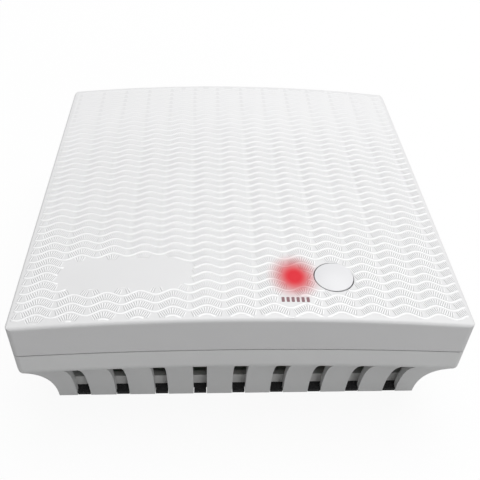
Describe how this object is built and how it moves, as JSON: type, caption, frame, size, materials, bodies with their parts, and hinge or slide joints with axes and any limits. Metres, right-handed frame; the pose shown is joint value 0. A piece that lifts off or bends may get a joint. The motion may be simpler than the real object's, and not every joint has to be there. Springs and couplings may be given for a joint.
{
  "type": "carbon dioxide sensor",
  "caption": "Square wall-mounted gas sensor with a crowned cover, a push button, a status light behind the face, and a vented housing that curves in to a wall plate.",
  "frame": {"origin": "centre of the back, on the wall plane", "axes": "+X to the right across the face, +Y up the wall, +Z out of the wall"},
  "size_m": [0.115, 0.115, 0.0409],
  "materials": {
    "cover_plastic": "satin white moulding with a fine wave relief on the face",
    "housing_plastic": "satin white moulding",
    "plate_plastic": "satin white moulding",
    "black_foam": "closed-cell foam",
    "button_plastic": "polished white",
    "clear_acrylic": "clear, lit red",
    "red_lamp": "tinted lens",
    "black_plastic": "moulded",
    "plunger_plastic": "moulded",
    "green_laminate": "solder mask",
    "blue_laminate": "solder mask",
    "zinc_steel": "zinc plated",
    "gilt_cell": "gilt reflector shell",
    "filter_sheet": "porous sheet",
    "bright_can": "bright can",
    "brass_pins": "plated",
    "terminal_plastic": "moulded",
    "capacitor_sleeve": "shrunk sleeve",
    "ferrite": "sintered",
    "jumper_plastic": "moulded",
    "chip_ceramic": "fired"
  },
  "bodies": {
    "housing": {"front_cover": "cover_plastic", "vent_housing": "housing_plastic", "wall_plate": "plate_plastic", "wall_gasket": "black_foam", "light_guide": "clear_acrylic", "status_lamp": "red_lamp", "switch_body": "black_plastic", "main_board": "green_laminate", "board_screws": "zinc_steel", "gas_cell": "gilt_cell", "cell_board": "blue_laminate", "gas_filter": "filter_sheet", "infrared_lamp": "bright_can", "infrared_detector": "bright_can", "cell_pins": "brass_pins", "terminal_block": "terminal_plastic", "terminal_screws": "zinc_steel", "terminal_clamps": "brass_pins", "microcontroller": "black_plastic", "voltage_regulator": "black_plastic", "bridge_rectifier": "black_plastic", "storage_capacitor": "capacitor_sleeve", "power_inductor": "ferrite", "selector_pins": "black_plastic", "selector_jumper": "jumper_plastic", "chip_parts": "chip_ceramic"},
    "button": {"push_button": "button_plastic", "switch_plunger": "plunger_plastic"}
  },
  "joints": [
    {"name": "button_press", "type": "slide", "parent": "housing", "child": "button", "axis": [0, 0, -1], "range_m": [0, 0.0004], "stiffness_N_per_m": 300, "springref_m": -0.002}
  ]
}
